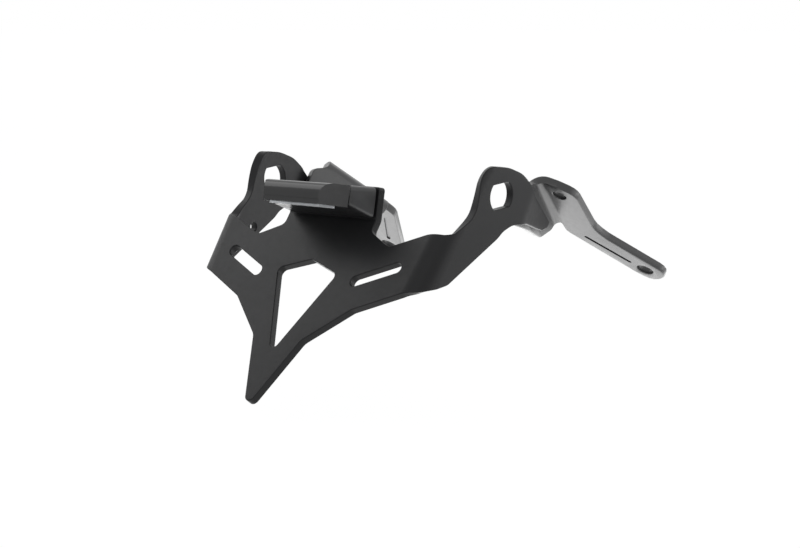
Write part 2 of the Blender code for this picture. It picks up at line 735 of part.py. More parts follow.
# lamp screws and washers from the front of the tab, and the cable inlet grommet
for k, sx in enumerate((-1, 1)):
    tag = ("left", "right")[k]
    zt = -sheet - 0.1 - lamp_washer_thick
    w = turned("lamp_washer_" + tag,
               [(lamp_screw_dia / 2 + screw_clear, 0), (lamp_washer_dia / 2 - 0.2, 0),
                (lamp_washer_dia / 2, 0.2), (lamp_washer_dia / 2, lamp_washer_thick - 0.2),
                (lamp_washer_dia / 2 - 0.2, lamp_washer_thick),
                (lamp_screw_dia / 2 + screw_clear, lamp_washer_thick)], 20)
    w.location = (sx * lamp_screw_x * MM, mid_y * MM, zt * MM)
    finish(w, steel, lamp)
    zh = zt - 0.1
    long = z0 + boss_len - 1.2 - 0.6 - zh
    r, h, d = lamp_head_dia / 2, lamp_head_height, lamp_screw_dia / 2
    sc = turned("lamp_screw_" + tag,
                [(0, long), (d - 0.4, long), (d, long - 0.5), (d, 0), (r, 0), (r, -h * 0.45),
                 (r * 0.86, -h * 0.8), (r * 0.66, -h), (0, -h)], 20)
    sk = turned("lamp_socket_" + tag, [(0, -h * 0.35), (r * 0.5, -h * 0.35), (r * 0.5, -h * 1.4),
                                       (0, -h * 1.4)], 6)
    for o in (sc, sk):
        o.location = (sx * lamp_screw_x * MM, mid_y * MM, zh * MM)
        finish(o, steel, lamp)
    cutter("lamp_socket_" + tag)
    boolean(sc, sk)
gr, gb = inlet_dia / 2 - gap / 2, grommet_bore / 2
grommet = turned("inlet_grommet",
                 [(gb, z0 + wall - 0.3), (gr - 0.5, z0 + wall - 0.3), (gr, z0 + wall - 0.9),
                  (gr, -sheet - 0.1), (gr + 1.7, -sheet - 0.1), (gr + 1.7, -sheet - 1.1),
                  (gr + 1.1, -sheet - 1.7), (gb + 0.5, -sheet - 1.7), (gb, -sheet - 1.2)], 20)
grommet.location = (0, mid_y * MM, 0)
finish(grommet, rubber, lamp)
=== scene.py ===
import math

import bmesh
import bpy
from mathutils import Matrix, Vector


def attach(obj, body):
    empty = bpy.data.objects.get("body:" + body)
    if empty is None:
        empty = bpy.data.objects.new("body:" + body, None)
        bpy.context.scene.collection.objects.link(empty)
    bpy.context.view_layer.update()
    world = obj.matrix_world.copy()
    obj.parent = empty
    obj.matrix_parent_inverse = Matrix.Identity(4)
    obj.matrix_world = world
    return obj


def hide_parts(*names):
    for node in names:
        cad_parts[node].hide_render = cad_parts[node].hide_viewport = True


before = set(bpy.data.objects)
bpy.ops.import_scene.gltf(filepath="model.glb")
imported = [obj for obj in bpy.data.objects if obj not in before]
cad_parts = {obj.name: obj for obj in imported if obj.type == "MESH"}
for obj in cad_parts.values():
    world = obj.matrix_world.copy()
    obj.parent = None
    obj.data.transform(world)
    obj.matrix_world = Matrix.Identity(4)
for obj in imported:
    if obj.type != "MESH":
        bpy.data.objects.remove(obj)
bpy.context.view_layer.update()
MM = 0.001

# Studio. A white sweep under the part and soft boxes round it, as for a catalogue picture,
# with a light table below. The part hangs in its riding stance, its tip just above the
# floor, and the camera looks at the rear right corner through a long lens.
camera_az, camera_el = math.radians(41.009), math.radians(7.335)
camera_lens, camera_away = 100.03, 1.0363
camera_right, camera_up = 0.0329, -0.0243
aim_at = Vector((0, -0.083943, -0.014063))
floor_z, floor_radius = -0.1, 9
sky_dim = 0.55
paper_glow, paper_shade = 1.03, 0.95
boxes_round = (0, -0.04, -0.03)


def added(name, data):
    o = bpy.data.objects.new(name, data)
    bpy.context.scene.collection.objects.link(o)
    return o


def meshed(name, bm):
    me = bpy.data.meshes.new(name)
    bm.to_mesh(me)
    bm.free()
    return me


def wired(tree, out_socket, in_socket):
    tree.links.new(out_socket, in_socket)


def op(tree, kind, *values):
    # a maths node; each value is a number or another node's socket
    n = tree.nodes.new("ShaderNodeMath")
    n.operation = kind
    for socket, v in zip(n.inputs, values):
        if isinstance(v, (int, float)):
            socket.default_value = v
        else:
            wired(tree, v, socket)
    return n.outputs[0]


def seen_directly(tree):
    # one for camera, mirror and clear rays, zero for the rays that light the part
    rays = tree.nodes.new("ShaderNodeLightPath").outputs
    seen = op(tree, "MAXIMUM", rays["Is Camera Ray"], rays["Is Glossy Ray"])
    return op(tree, "MAXIMUM", seen, rays["Is Transmission Ray"])


def mixed(tree, share, first, second, out_node):
    mix = tree.nodes.new("ShaderNodeMixShader")
    wired(tree, share, mix.inputs[0])
    wired(tree, first.outputs[0], mix.inputs[1])
    wired(tree, second.outputs[0], mix.inputs[2])
    wired(tree, mix.outputs[0], tree.nodes[out_node].inputs["Surface"])


def soft_box(name, towards, away, width, height, bright, centre=boxes_round):
    lamp = bpy.data.lights.new(name, "AREA")
    lamp.shape = "RECTANGLE"
    lamp.size, lamp.size_y = width, height
    lamp.energy = bright * math.pi * width * height
    o = added(name, lamp)
    d = Vector(towards).normalized()
    o.location = Vector(centre) + d * away
    o.rotation_mode = "QUATERNION"
    o.rotation_quaternion = d.to_track_quat("Z", "Y")
    o.visible_camera = False


back = Vector((math.sin(camera_az) * math.cos(camera_el),
               -math.cos(camera_az) * math.cos(camera_el), math.sin(camera_el)))
right = Vector((math.cos(camera_az), math.sin(camera_az), 0))
camera = added("camera", bpy.data.cameras.new("camera"))
camera.data.lens, camera.data.sensor_width = camera_lens, 36
camera.data.clip_start, camera.data.clip_end = 0.02, 30
camera.location = (aim_at + right * camera_right + back.cross(right) * camera_up
                   + back * camera_away)
camera.rotation_mode = "QUATERNION"
camera.rotation_quaternion = (-back).to_track_quat("-Z", "Y")
bpy.context.scene.camera = camera
bpy.context.scene.view_settings.view_transform = "Standard"

world = bpy.data.worlds.new("white_studio")
bpy.context.scene.world = world
world.use_nodes = True
nt = world.node_tree
dim, white = nt.nodes["Background"], nt.nodes.new("ShaderNodeBackground")
dim.inputs["Color"].default_value = (0.92, 0.95, 1, 1)
dim.inputs["Strength"].default_value = sky_dim
white.inputs["Color"].default_value = (1, 1, 1, 1)
mixed(nt, seen_directly(nt), dim, white, "World Output")

bm = bmesh.new()
bmesh.ops.create_circle(bm, cap_ends=True, segments=64, radius=floor_radius)
bmesh.ops.translate(bm, verts=bm.verts, vec=(0, 0, floor_z))
floor = added("floor", meshed("floor", bm))
paper = bpy.data.materials.new("white_paper")
paper.use_nodes = True
nt = paper.node_tree
lit, glow = nt.nodes["Principled BSDF"], nt.nodes.new("ShaderNodeEmission")
lit.inputs["Base Color"].default_value = (0.86, 0.86, 0.86, 1)
lit.inputs["Roughness"].default_value = 0.9
glow.inputs["Strength"].default_value = paper_glow
mixed(nt, op(nt, "MULTIPLY", seen_directly(nt), paper_shade), lit, glow, "Material Output")
floor.data.materials.append(paper)

soft_box("high_box", (-0.80, -0.28, 0.72), 0.9, 0.5, 0.6, 1.4)
soft_box("right_box", (1.0, 0.45, 0.15), 1.6, 0.9, 1.2, 1.0)
soft_box("rear_box", (0.5, -1.0, 0.5), 1.9, 1.0, 1.0, 0.8)
soft_box("front_box", (0.65, 0.75, -0.04), 1.6, 0.9, 0.5, 3.0)
soft_box("light_table", (0, 0, -1), 0, 0.44, 0.30, 1.4, (-0.06, 0.13, floor_z + 0.002))

# Folded sheet. One 4 mm steel plate carries the number plate panel, the lamp tab and the
# two arms with turned-in ends. It is laser cut flat, folded at the arms, their ends and the
# tab, and powder coated in satin black, which softens its edges and leaves a fine peel.
sheet, sheet_edge = 4.0, 0.45
arm_x, arm_z, arm_splay = 61.6, -6.1, math.radians(3.5)
arm_fold, arm_inner = math.radians(89.9), 6.0
end_at, end_lean = (43.842, 39.014), math.radians(10.107)
end_fold, end_inner = math.radians(18.388), 12.0
tab_half, tab_rise, tab_z = 27.5, 14.4, 2.6
tab_fold, tab_inner = math.radians(25.6), 3.0
slot_from, slot_to, slot_width = (31.2, -28.7), (51.3, -19.9), 5.5
eye_at, eye_dia, eye_flats, eye_tilt = (23.5, 39.0), 15.4, 11.6, math.radians(38)
clip_at, clip_dia = (22.9, 10.4), 4.4
screw_hole, lamp_screw_x, lamp_screw_drop, lead_hole = 4.6, 17.5, 6.2, 8.0
foot_hole_from, foot_hole_to = 5.3, 8.4
foot_spots = (("rear", (62.9915, -24.3957, -7.9884)), ("front", (58.642, -12.1512, -13.9259)))
foot_aim = (0.951092, 0.249586, -0.182021)
stance = Matrix(((1, 0, 0, 0), (0, 0.8131008, 0.582123, -0.0839434),
                 (0, -0.582123, 0.8131008, -0.014063), (0, 0, 0, 1)))


def rounded(corners, steps=12):
    # corners are (x, y, radius); returns the outline with an arc at each corner
    ring = []
    for i, (x, y, r) in enumerate(corners):
        a, b, c = (Vector(corners[k % len(corners)][:2]) for k in (i - 1, i, i + 1))
        u, v = (a - b).normalized(), (c - b).normalized()
        angle = u.angle(v)
        if r <= 0 or angle > math.pi - 0.02:
            ring.append(b)
            continue
        reach = min(r / math.tan(angle / 2), (a - b).length * 0.49, (c - b).length * 0.49)
        r = reach * math.tan(angle / 2)
        centre = b + (u + v).normalized() * (r / math.sin(angle / 2))
        start, end = b + u * reach - centre, b + v * reach - centre
        sweep = start.angle(end)
        turn = 1 if start.x * end.y - start.y * end.x > 0 else -1
        count = max(3, round(sweep / (math.pi / 2) * steps))
        for j in range(count + 1):
            ring.append(centre + Matrix.Rotation(turn * sweep * j / count, 2) @ start)
    return ring


def round_hole(x, y, dia, steps=40):
    return [Vector((x + dia / 2 * math.cos(math.tau * i / steps),
                    y + dia / 2 * math.sin(math.tau * i / steps))) for i in range(steps)]


def long_hole(a, b, width, steps=16):
    a, b = Vector(a), Vector(b)
    way = math.atan2(b.y - a.y, b.x - a.x)
    ring = []
    for centre, start in ((b, way - math.pi / 2), (a, way + math.pi / 2)):
        for i in range(steps + 1):
            t = start + math.pi * i / steps
            ring.append(centre + Vector((math.cos(t), math.sin(t))) * width / 2)
    return ring


def two_flat_hole(x, y, dia, flats, tilt, steps=14):
    half = math.asin(flats / dia)
    ring = []
    for side in (0, math.pi):
        for i in range(steps + 1):
            t = side - half + 2 * half * i / steps + tilt
            ring.append(Vector((x + dia / 2 * math.cos(t), y + dia / 2 * math.sin(t))))
    return ring


def mirrored(loop):
    return [Vector((-p[0], p[1])) for p in reversed(loop)]


def plain_mesh(o):
    # the object's mesh as its curve or modifiers make it
    bpy.context.view_layer.update()
    seen = o.evaluated_get(bpy.context.evaluated_depsgraph_get())
    me = bpy.data.meshes.new_from_object(seen)
    me.name = o.name
    return me


def mended(me, weld=0.0, turn_out=False):
    # joins the points that lie within the weld, in mm, and turns the faces outwards
    bm = bmesh.new()
    bm.from_mesh(me)
    if weld:
        bmesh.ops.remove_doubles(bm, verts=bm.verts, dist=weld * MM)
    if turn_out:
        bmesh.ops.recalc_face_normals(bm, faces=bm.faces)
    bm.to_mesh(me)
    bm.free()
    return me


def cut_blank(name, loops):
    # a flat blank in the XZ plane, its rear face at y = 0, with rounded edges
    cu = bpy.data.curves.new(name, "CURVE")
    cu.dimensions, cu.fill_mode = "2D", "BOTH"
    cu.extrude, cu.bevel_resolution = (sheet / 2 - sheet_edge) * MM, 2
    cu.bevel_depth, cu.offset = sheet_edge * MM, -sheet_edge * MM
    for loop in loops:
        sp = cu.splines.new("POLY")
        sp.points.add(len(loop) - 1)
        for point, p in zip(sp.points, loop):
            point.co = (p[0] * MM, p[1] * MM, 0, 1)
        sp.use_cyclic_u = True
    o = added(name, cu)
    me = plain_mesh(o)
    bpy.data.objects.remove(o, do_unlink=True)
    upright = Matrix.Rotation(math.radians(90), 4, "X")
    me.transform(Matrix.Translation((0, sheet / 2 * MM, 0)) @ upright)
    return mended(me, 0.002, True)


def fold(me, point, along, away, start, inner, angle, towards, steps, beyond):
    # bends the blank about a line in its own plane, at the length of its middle layer
    mid = (inner + sheet / 2) * MM
    run = mid * angle
    along, away = Vector(along).normalized(), Vector(away).normalized()
    origin = Vector(point) * MM + away * start * MM
    bm = bmesh.new()
    bm.from_mesh(me)
    for i in range(steps + 1):
        faces = {f for v in bm.verts if beyond(v.co) for f in v.link_faces}
        geom = list({g for f in faces for g in list(f.verts) + list(f.edges)} | faces)
        bmesh.ops.bisect_plane(bm, geom=geom, dist=1e-7, plane_no=away,
                               plane_co=origin + away * run * i / steps)
    near, far = inner * MM, (inner + sheet) * MM
    for v in bm.verts:
        d = v.co - origin
        s, q, w = d.dot(away), d.dot(along), v.co.y
        if s <= 1e-9 or not beyond(v.co):
            continue
        a, rest = min(s / mid, angle), max(0.0, s - run)
        r = far - w if towards > 0 else near + w
        y = (far - r * math.cos(a) + rest * math.sin(a) if towards > 0
             else -near + r * math.cos(a) - rest * math.sin(a))
        flat = origin + along * q + away * (r * math.sin(a) + rest * math.cos(a))
        v.co = Vector((flat.x, y, flat.z))
    bm.to_mesh(me)
    bm.free()


def carved(o, rooms, weld):
    # takes the rooms away from the object and keeps the result as its plain mesh
    for room in rooms:
        cut = o.modifiers.new(room.name, "BOOLEAN")
        cut.operation, cut.solver, cut.object = "DIFFERENCE", "EXACT", room
    made = plain_mesh(o)
    o.modifiers.clear()
    o.data = made
    for room in rooms:
        bpy.data.objects.remove(room, do_unlink=True)
    return mended(made, weld)


fold_along = Vector((math.sin(arm_splay), 0, math.cos(arm_splay)))
fold_away = Vector((math.cos(arm_splay), 0, -math.sin(arm_splay)))


def on_arm(s, q, r=0.0):
    # a place on the flat arm, from the foot of its fold: away from the fold and along it
    p = Vector((arm_x, 0, arm_z)) + fold_away * s + fold_along * q
    return p.x, p.z, r


tab_top = tab_z + tab_fold * (tab_inner + sheet / 2) + tab_rise
arm_edge = [(-1.0, -27.0, 12), (6.5, -22.9, 16), (17.6, -12.0, 8), (33.8, 22.2, 14),
            (35.2, 27.0, 10), (38.8, 32.4, 10), (48.0, 38.8, 8), (68.4, 46.0, 2.5),
            (73.0, 50.0, 2.5), (73.6, 53.4, 1.5), (44.5, 52.4, 5), (37.6, 54.6, 8),
            (30.0, 55.2, 16), (20.0, 52.2, 20), (9.2, 46.0, 10), (8.1, 38.6, 14),
            (13.6, 22.4, 12), (8.6, 9.2, 5), (5.6, 6.6, 6), (-1.5, 4.3, 6)]
half_edge = [(0, -99.5, 3), (15.2, -61.6, 6), (36.3, -43.2, 6)]
half_edge += [on_arm(*p) for p in arm_edge]
half_edge += [(41.6, -9.8, 5), (tab_half, -3.0, 3.5), (tab_half, tab_top, 1.6)]
outline = rounded(half_edge + [(-x, z, r) for x, z, r in reversed(half_edge[1:])])
kite = rounded([(0, -20.2, 1.6), (-18.6, -26.3, 2.9), (0, -70.4, 2.5), (18.6, -26.3, 2.9)])
eye, clip, lamp_row = on_arm(*eye_at), on_arm(*clip_at), tab_top - lamp_screw_drop
holes = [long_hole(slot_from, slot_to, slot_width),
         two_flat_hole(eye[0], eye[1], eye_dia, eye_flats, eye_tilt)]
holes += [mirrored(loop) for loop in holes]
holes.append(round_hole(-clip[0], clip[1], clip_dia))
holes += [round_hole(x, lamp_row, screw_hole) for x in (-lamp_screw_x, lamp_screw_x)]
holes.append(round_hole(0, lamp_row, lead_hole))
folded = cut_blank("folded_sheet", [outline, kite] + holes)
end = on_arm(*end_at)
end_along = fold_along * math.cos(end_lean) - fold_away * math.sin(end_lean)
end_away = fold_away * math.cos(end_lean) + fold_along * math.sin(end_lean)
for side in (1, -1):
    flip = Vector((side, 1, 1))
    fold(folded, (side * end[0], 0, end[1]), end_along * flip, end_away * flip,
         -end_fold * (end_inner + sheet / 2) / 2, end_inner, end_fold, 1, 8,
         lambda co: co.x * side > arm_x * MM)
    fold(folded, (side * arm_x, 0, arm_z), fold_along * flip, fold_away * flip,
         0, arm_inner, arm_fold, 1, 18, lambda co: co.x * side > 0.8 * arm_x * MM)
fold(folded, (0, 0, tab_z), (1, 0, 0), (0, 0, 1), 0, tab_inner, tab_fold, -1, 8,
     lambda co: abs(co.x) < (tab_half + 1) * MM)
folded.transform(stance)
sheet_piece = added("folded_sheet", folded)

# four blind holes in the turned-in ends take the tips of the bracket screws
foot_marks = [(word + "_" + place, Vector((side * x, y, z)),
               Vector((side * foot_aim[0], foot_aim[1], foot_aim[2])))
              for word, side in (("left", -1), ("right", 1)) for place, (x, y, z) in foot_spots]
bm = bmesh.new()
for tag, spot, aim in foot_marks:
    middle = spot + aim * (foot_hole_from + foot_hole_to) / 2
    stood = Matrix.Translation(middle * MM) @ aim.to_track_quat("Z", "Y").to_matrix().to_4x4()
    bmesh.ops.create_cone(bm, cap_ends=True, segments=32, radius1=screw_hole / 2 * MM,
                          radius2=screw_hole / 2 * MM,
                          depth=(foot_hole_to - foot_hole_from) * MM, matrix=stood)
drill = added("foot_holes", meshed("foot_holes", bm))
folded = carved(sheet_piece, [drill], 0.002)


def noise(tree, place, scale, detail):
    n = tree.nodes.new("ShaderNodeTexNoise")
    n.inputs["Scale"].default_value, n.inputs["Detail"].default_value = scale, detail
    wired(tree, place, n.inputs["Vector"])
    return n.outputs["Fac"]


def surface(name, tint, rough, skins, settings=()):
    # noises fixed to the piece drive its tint (scale, detail, dark, light), its roughness
    # (scale, detail, low, high) and each skin of its relief (scale, detail, depth in mm)
    m = bpy.data.materials.new(name)
    m.use_nodes = True
    tree, shader = m.node_tree, m.node_tree.nodes["Principled BSDF"]
    place = tree.nodes.new("ShaderNodeTexCoord").outputs["Object"]
    noise_range = (0.3, 0.7)
    colour = tree.nodes.new("ShaderNodeValToRGB")
    for stop, position, shade in zip(colour.color_ramp.elements, noise_range, tint[2:]):
        stop.position, stop.color = position, (*shade, 1)
    wired(tree, noise(tree, place, *tint[:2]), colour.inputs["Fac"])
    wired(tree, colour.outputs["Color"], shader.inputs["Base Color"])
    dull = tree.nodes.new("ShaderNodeMapRange")
    for socket, value in zip(("From Min", "From Max", "To Min", "To Max"),
                             noise_range + rough[2:]):
        dull.inputs[socket].default_value = value
    wired(tree, noise(tree, place, *rough[:2]), dull.inputs["Value"])
    wired(tree, dull.outputs["Result"], shader.inputs["Roughness"])
    under = None
    for scale, detail, depth in skins:
        bump = tree.nodes.new("ShaderNodeBump")
        bump.inputs["Strength"].default_value = 1.0
        bump.inputs["Distance"].default_value = depth * MM
        wired(tree, noise(tree, place, scale, detail), bump.inputs["Height"])
        if under is not None:
            wired(tree, under, bump.inputs["Normal"])
        under = bump.outputs["Normal"]
    if under is not None:
        wired(tree, under, shader.inputs["Normal"])
    for socket, value in settings:
        shader.inputs[socket].default_value = value
    return m


def powder_coat(name, dark, light, smooth, dull, peel, gleam, clear):
    return surface(name, (34, 3, dark, light), (420, 4, smooth, dull),
                   ((620, 2, peel), (2600, 2, peel * 0.18)),
                   (("Specular IOR Level", gleam), ("Coat Weight", clear),
                    ("Coat Roughness", 0.30)))


def new_tree(name, inputs):
    tree = bpy.data.node_groups.new(name, "GeometryNodeTree")
    sockets = [("Geometry", "INPUT", "Geometry")]
    sockets += [(label, "INPUT", kind) for label, kind in inputs]
    for label, way, kind in sockets + [("Geometry", "OUTPUT", "Geometry")]:
        tree.interface.new_socket(name=label, in_out=way, socket_type="NodeSocket" + kind)
    return tree, tree.nodes.new("NodeGroupInput"), tree.nodes.new("NodeGroupOutput")


def shaded(tree, shape, angle):
    # smooth faces, with an edge kept crisp where it turns by more than the angle
    smooth = tree.nodes.new("GeometryNodeSetShadeSmooth")
    crisp = tree.nodes.new("GeometryNodeSetShadeSmooth")
    crisp.domain = "EDGE"
    crisp.inputs["Shade Smooth"].default_value = False
    turn = tree.nodes.new("GeometryNodeInputMeshEdgeAngle")
    over = tree.nodes.new("FunctionNodeCompare")
    over.operation = "GREATER_THAN"
    if isinstance(angle, float):
        over.inputs["B"].default_value = angle
    else:
        wired(tree, angle, over.inputs["B"])
    wired(tree, shape, smooth.inputs["Geometry"])
    wired(tree, smooth.outputs["Geometry"], crisp.inputs["Geometry"])
    wired(tree, turn.outputs["Unsigned Angle"], over.inputs["A"])
    wired(tree, over.outputs["Result"], crisp.inputs["Selection"])
    return crisp.outputs["Geometry"]


def welded(tree, shape, reach):
    weld = tree.nodes.new("GeometryNodeMergeByDistance")
    weld.inputs["Distance"].default_value = reach * MM
    wired(tree, shape, weld.inputs["Geometry"])
    return weld.outputs["Geometry"]


def run_on(o, tree, values):
    # puts the tree on the object and sets its named inputs
    mod = o.modifiers.new(tree.name, "NODES")
    mod.node_group = tree
    for item in tree.interface.items_tree:
        if item.item_type == "SOCKET" and item.in_out == "INPUT" and item.name in values:
            mod[item.identifier] = values[item.name]


soft_shading, gi, go = new_tree("soft_shading", (("Edge angle", "Float"),))
whole = welded(soft_shading, gi.outputs["Geometry"], 0.004)
wired(soft_shading, shaded(soft_shading, whole, gi.outputs["Edge angle"]), go.inputs["Geometry"])


def softened(node, angle_deg=50):
    # a folded, turned or moulded surface shades as one, with its true edges kept crisp
    run_on(node, soft_shading, {"Edge angle": math.radians(angle_deg)})
    even = node.modifiers.new("even_faces", "WEIGHTED_NORMAL")
    even.keep_sharp, even.weight = True, 100


sheet_coat = powder_coat("satin_black_sheet", (0.008, 0.008, 0.0085), (0.013, 0.013, 0.0135),
                         0.34, 0.42, 0.008, 0.22, 0.0)
folded.materials.clear()
folded.materials.append(sheet_coat)
softened(sheet_piece)
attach(sheet_piece, "root")
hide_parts("plate_bracket")


# Mounting brackets. Two smaller folded plates, each with a foot inside the turned-in arm
# end and a level plate with its two bores. Their coat is a shade smoother and glossier.
def dressed(node_name, m, edge_deg=40):
    # gives a piece of the frame its material and soft shading
    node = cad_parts[node_name]
    node.data.materials.clear()
    node.data.materials.append(m)
    softened(node, edge_deg)


bracket_coat = powder_coat("satin_black_bracket", (0.010, 0.010, 0.0105), (0.016, 0.016, 0.0165),
                           0.32, 0.38, 0.0015, 0.5, 0.35)
for word in ("left", "right"):
    dressed("mount_bracket_" + word, bracket_coat, 50)

# Bracket fasteners. Pan head screws with a hex socket and a rolled thread go from the
# inside through each foot into the arm's end, each over a flat washer, all zinc plated.
foot_screw = {"Shank diameter": 4.0, "Shank length": 7.75, "Head diameter": 7.4,
              "Head height": 2.5, "Socket width": 3.2, "Pitch": 0.7}
foot_washer = {"Bore": 4.6, "Outer diameter": 9.0, "Thickness": 1.0}
seat_gap = 0.1


def placed(tree, points, shape, finish, out):
    # stands the shape on every point, its own Z along the point's aim
    stand = tree.nodes.new("GeometryNodeInstanceOnPoints")
    aim = tree.nodes.new("GeometryNodeInputNamedAttribute")
    aim.data_type = "FLOAT_VECTOR"
    aim.inputs["Name"].default_value = "aim"
    turn = tree.nodes.new("FunctionNodeAlignRotationToVector")
    turn.axis = "Z"
    wired(tree, aim.outputs["Attribute"], turn.inputs["Vector"])
    wired(tree, points, stand.inputs["Points"])
    wired(tree, shape, stand.inputs["Instance"])
    wired(tree, turn.outputs["Rotation"], stand.inputs["Rotation"])
    real = tree.nodes.new("GeometryNodeRealizeInstances")
    paint = tree.nodes.new("GeometryNodeSetMaterial")
    wired(tree, stand.outputs["Instances"], real.inputs["Geometry"])
    wired(tree, real.outputs["Geometry"], paint.inputs["Geometry"])
    wired(tree, finish, paint.inputs["Material"])
    wired(tree, paint.outputs["Geometry"], out)


def vector_of(tree, **parts):
    # a vector node; each part is a number or another node's socket
    n = tree.nodes.new("ShaderNodeCombineXYZ")
    for axis, v in parts.items():
        if isinstance(v, (int, float)):
            n.inputs[axis].default_value = v
        else:
            wired(tree, v, n.inputs[axis])
    return n.outputs[0]


def tube(tree, start, end, steps, radius, sides):
    # a round bar along Z whose radius follows a value along its length
    line = tree.nodes.new("GeometryNodeCurvePrimitiveLine")
    wired(tree, vector_of(tree, Z=start), line.inputs["Start"])
    wired(tree, vector_of(tree, Z=end), line.inputs["End"])
    cut = tree.nodes.new("GeometryNodeResampleCurve")
    cut.inputs["Count"].default_value = steps
    wired(tree, line.outputs["Curve"], cut.inputs["Curve"])
    ring = tree.nodes.new("GeometryNodeCurvePrimitiveCircle")
    ring.inputs["Resolution"].default_value = sides
    ring.inputs["Radius"].default_value = 1.0
    sweep = tree.nodes.new("GeometryNodeCurveToMesh")
    sweep.inputs["Fill Caps"].default_value = True
    wired(tree, cut.outputs["Curve"], sweep.inputs["Curve"])
    wired(tree, ring.outputs["Curve"], sweep.inputs["Profile Curve"])
    wired(tree, radius, sweep.inputs["Scale"])
    return welded(tree, sweep.outputs["Mesh"], 0.001)


def shaped(tree, value, points):
    # follows straight lines from point to point
    n = tree.nodes.new("ShaderNodeFloatCurve")
    curve = n.mapping.curves[0]
    while len(curve.points) < len(points):
        curve.points.new(0.5, 0.5)
    for p, spot in zip(curve.points, points):
        p.location, p.handle_type = spot, "VECTOR"
    n.mapping.update()
    wired(tree, value, n.inputs["Value"])
    return n.outputs["Value"]


def screw_tree():
    tree, gi, go = new_tree("pan_head_screw", (
        ("Shank diameter", "Float"), ("Shank length", "Float"), ("Head diameter", "Float"),
        ("Head height", "Float"), ("Socket width", "Float"), ("Pitch", "Float"),
        ("Finish", "Material")))
    g = gi.outputs
    corner_per_flats, socket_depth, thread_depth = 0.5774, 0.65, 0.9
    thread_from, thread_short = 0.4 * MM, 0.1 * MM

    def times(a, b):
        return op(tree, "MULTIPLY", a, b)

    # a domed head below the origin, with a hexagon cut into its top
    share = tree.nodes.new("GeometryNodeSplineParameter").outputs["Factor"]
    dome = shaped(tree, share, ((0, 0.97), (0.05, 1.0), (0.42, 1.0), (0.66, 0.95),
                                (0.85, 0.86), (1, 0.66)))
    head_end = times(g["Head height"], -1.0)
    head = tube(tree, 0.0, head_end, 21, times(dome, times(g["Head diameter"], 0.5)), 40)
    hexagon = tree.nodes.new("GeometryNodeMeshCylinder")
    hexagon.inputs["Vertices"].default_value = 6
    wired(tree, times(g["Socket width"], corner_per_flats), hexagon.inputs["Radius"])
    wired(tree, times(g["Head height"], socket_depth * 2), hexagon.inputs["Depth"])
    lower = tree.nodes.new("GeometryNodeTransform")
    wired(tree, hexagon.outputs["Mesh"], lower.inputs["Geometry"])
    wired(tree, vector_of(tree, Z=head_end), lower.inputs["Translation"])
    carve = tree.nodes.new("GeometryNodeMeshBoolean")
    carve.operation = "DIFFERENCE"
    wired(tree, head, carve.inputs["Mesh 1"])
    wired(tree, lower.outputs["Geometry"], carve.inputs["Mesh 2"])
    # the thread runs round the shank: its depth follows the turn and the height
    taper = shaped(tree, share, ((0, 1.0), (0.94, 1.0), (1, 0.84)))
    core = times(taper, times(g["Shank diameter"], 0.5))
    shank = tube(tree, 0.02 * MM, g["Shank length"], 60, core, 32)
    split = tree.nodes.new("ShaderNodeSeparateXYZ")
    wired(tree, tree.nodes.new("GeometryNodeInputPosition").outputs[0], split.inputs[0])
    x, y, z = split.outputs
    turn = op(tree, "DIVIDE", op(tree, "ARCTAN2", y, x), math.tau)
    phase = op(tree, "FRACT", op(tree, "SUBTRACT", op(tree, "DIVIDE", z, g["Pitch"]), turn))
    ridge = op(tree, "PINGPONG", phase, 0.5)
    thread_to = op(tree, "SUBTRACT", g["Shank length"], thread_short)
    ends = times(op(tree, "GREATER_THAN", z, thread_from), op(tree, "LESS_THAN", z, thread_to))
    depth = times(times(ridge, ends), times(g["Pitch"], -thread_depth))
    unit = tree.nodes.new("ShaderNodeVectorMath")
    unit.operation = "NORMALIZE"
    wired(tree, vector_of(tree, X=x, Y=y), unit.inputs[0])
    move = tree.nodes.new("ShaderNodeVectorMath")
    move.operation = "SCALE"
    wired(tree, unit.outputs[0], move.inputs[0])
    wired(tree, depth, move.inputs["Scale"])
    thread = tree.nodes.new("GeometryNodeSetPosition")
    wired(tree, shank, thread.inputs["Geometry"])
    wired(tree, move.outputs[0], thread.inputs["Offset"])
    join = tree.nodes.new("GeometryNodeJoinGeometry")
    wired(tree, shaded(tree, carve.outputs["Mesh"], math.radians(32)), join.inputs[0])
    wired(tree, shaded(tree, thread.outputs["Geometry"], math.radians(50)), join.inputs[0])
    placed(tree, g["Geometry"], join.outputs[0], g["Finish"], go.inputs["Geometry"])
    return tree


def washer_tree():
    tree, gi, go = new_tree("flat_washer", (
        ("Bore", "Float"), ("Outer diameter", "Float"), ("Thickness", "Float"),
        ("Finish", "Material")))
    g = gi.outputs
    ring = tree.nodes.new("GeometryNodeCurvePrimitiveCircle")
    ring.inputs["Resolution"].default_value = 48
    both = op(tree, "ADD", g["Bore"], g["Outer diameter"])
    wired(tree, op(tree, "MULTIPLY", both, 0.25), ring.inputs["Radius"])
    section = tree.nodes.new("GeometryNodeCurvePrimitiveQuadrilateral")
    width = op(tree, "SUBTRACT", g["Outer diameter"], g["Bore"])
    wired(tree, op(tree, "MULTIPLY", width, 0.5), section.inputs["Width"])
    wired(tree, g["Thickness"], section.inputs["Height"])
    ease = tree.nodes.new("GeometryNodeFilletCurve")
    ease.inputs["Radius"].default_value = 0.12 * MM
    wired(tree, section.outputs["Curve"], ease.inputs["Curve"])
    sweep = tree.nodes.new("GeometryNodeCurveToMesh")
    wired(tree, ring.outputs["Curve"], sweep.inputs["Curve"])
    wired(tree, ease.outputs["Curve"], sweep.inputs["Profile Curve"])
    flat = shaded(tree, sweep.outputs["Mesh"], math.radians(50))
    placed(tree, g["Geometry"], flat, g["Finish"], go.inputs["Geometry"])
    return tree


